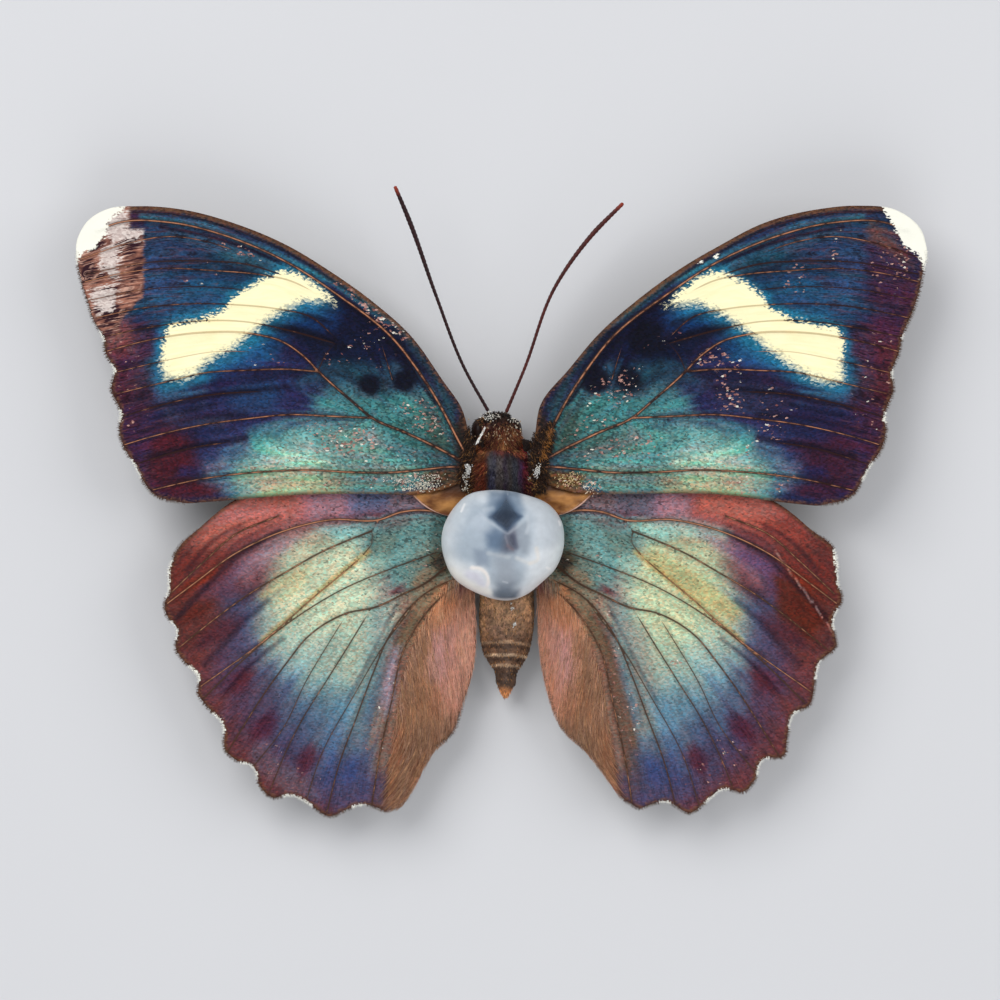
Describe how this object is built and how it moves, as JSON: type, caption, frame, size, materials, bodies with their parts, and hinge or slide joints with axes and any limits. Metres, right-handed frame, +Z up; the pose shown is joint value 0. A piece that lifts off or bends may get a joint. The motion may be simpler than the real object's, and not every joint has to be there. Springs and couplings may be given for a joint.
{
  "type": "spread butterfly specimen with a small glass dome on its back",
  "caption": "Dried butterfly lying on its belly with its wings spread flat, and a small milky glass dome resting on its thorax and abdomen.",
  "frame": {"origin": "middle of the flat on the underside of the thorax, on which the specimen lies", "axes": "+Z up out of the insect's back, +Y towards the head, X across the spread wings"},
  "size_m": [0.08, 0.0593, 0.0117],
  "materials": {
    "forewing": "satin scales, teal to indigo with a cream band",
    "hindwing": "satin scales, mint green to blue with a wine-red border",
    "body": "hairy chitin, dark reddish brown",
    "abdomen": "scaly chitin, mottled brown",
    "eye": "glossy, almost black",
    "horn": "satin, dark maroon",
    "leg": "scaly chitin, brown",
    "dome": "glossy, milky pale blue"
  },
  "bodies": {
    "root": {"forewing_left": "forewing", "forewing_right": "forewing", "hindwing_left": "hindwing", "hindwing_right": "hindwing", "head": "body", "thorax": "body", "abdomen": "abdomen", "eye_left": "eye", "eye_right": "eye", "palp_left": "body", "palp_right": "body", "proboscis": "horn", "antenna_left": "horn", "antenna_right": "horn", "front_leg_left": "leg", "front_leg_right": "leg", "middle_leg_left": "leg", "middle_leg_right": "leg", "hind_leg_left": "leg", "hind_leg_right": "leg", "glass_dome": "dome"}
  },
  "joints": []
}
